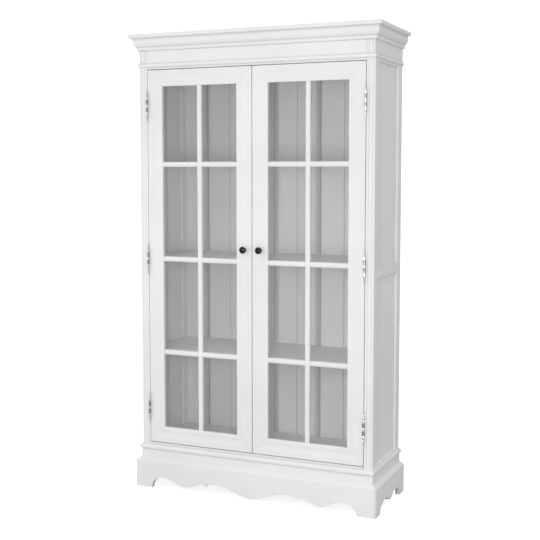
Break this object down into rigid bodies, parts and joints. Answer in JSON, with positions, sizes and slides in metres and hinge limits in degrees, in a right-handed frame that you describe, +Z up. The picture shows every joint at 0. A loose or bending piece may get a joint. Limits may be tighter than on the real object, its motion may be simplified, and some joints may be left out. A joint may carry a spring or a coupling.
{
  "type": "display cabinet",
  "caption": "Tall white-painted display cabinet with two hinged glazed doors, inner shelves, a moulded cornice and a scrolled bracket base.",
  "frame": {"origin": "on the floor at the middle of the bounding box's underside", "axes": "+Z up, +X to the cabinet's right as seen from the front, +Y from the doors to the back"},
  "size_m": [1.1196, 0.406, 1.95],
  "materials": {
    "painted_wood": "satin white paint on wood",
    "window_glass": "clear float glass",
    "hinge_metal": "bright cast and turned metal",
    "knob_bronze": "dark bronze, satin",
    "catch_plastic": "moulded",
    "strike_steel": "plain plate"
  },
  "bodies": {
    "carcass": {"apron_front": "painted_wood", "apron_left": "painted_wood", "apron_right": "painted_wood", "back_panel": "painted_wood", "base_moulding_front": "painted_wood", "base_moulding_left": "painted_wood", "base_moulding_right": "painted_wood", "base_rear_rail": "painted_wood", "cornice_front": "painted_wood", "cornice_left": "painted_wood", "cornice_right": "painted_wood", "floor_board": "painted_wood", "frieze_front": "painted_wood", "frieze_left": "painted_wood", "frieze_right": "painted_wood", "front_post_left": "painted_wood", "front_post_right": "painted_wood", "hinge_left_bottom_post_leaf": "hinge_metal", "hinge_left_middle_post_leaf": "hinge_metal", "hinge_left_top_post_leaf": "hinge_metal", "hinge_right_bottom_post_leaf": "hinge_metal", "hinge_right_middle_post_leaf": "hinge_metal", "hinge_right_top_post_leaf": "hinge_metal", "magnetic_catch": "catch_plastic", "rear_post_left": "painted_wood", "rear_post_right": "painted_wood", "shelf_lower": "painted_wood", "shelf_middle": "painted_wood", "shelf_upper": "painted_wood", "side_bottom_rail_left": "painted_wood", "side_bottom_rail_right": "painted_wood", "side_lower_panel_left": "painted_wood", "side_lower_panel_right": "painted_wood", "side_mid_rail_left": "painted_wood", "side_mid_rail_right": "painted_wood", "side_upper_panel_left": "painted_wood", "side_upper_panel_right": "painted_wood", "top_board": "painted_wood"},
    "door_left": {"door_left_bottom_rail": "painted_wood", "door_left_glass": "window_glass", "door_left_glazing_bars": "painted_wood", "door_left_hinge_stile": "painted_wood", "door_left_knob": "knob_bronze", "door_left_meeting_stile": "painted_wood", "door_left_strike": "strike_steel", "door_left_top_rail": "painted_wood", "hinge_left_bottom_door_leaf": "hinge_metal", "hinge_left_middle_door_leaf": "hinge_metal", "hinge_left_top_door_leaf": "hinge_metal"},
    "door_right": {"door_right_bottom_rail": "painted_wood", "door_right_glass": "window_glass", "door_right_glazing_bars": "painted_wood", "door_right_hinge_stile": "painted_wood", "door_right_knob": "knob_bronze", "door_right_meeting_stile": "painted_wood", "door_right_strike": "strike_steel", "door_right_top_rail": "painted_wood", "hinge_right_bottom_door_leaf": "hinge_metal", "hinge_right_middle_door_leaf": "hinge_metal", "hinge_right_top_door_leaf": "hinge_metal"}
  },
  "joints": [
    {"name": "door_left_swing", "type": "hinge", "parent": "carcass", "child": "door_left", "pos_m": [-0.4876, -0.1723, 0.99925], "axis": [0, 0, -1], "range_deg": [0, 170]},
    {"name": "door_right_swing", "type": "hinge", "parent": "carcass", "child": "door_right", "pos_m": [0.4876, -0.1723, 0.99925], "axis": [0, 0, 1], "range_deg": [0, 170]}
  ]
}
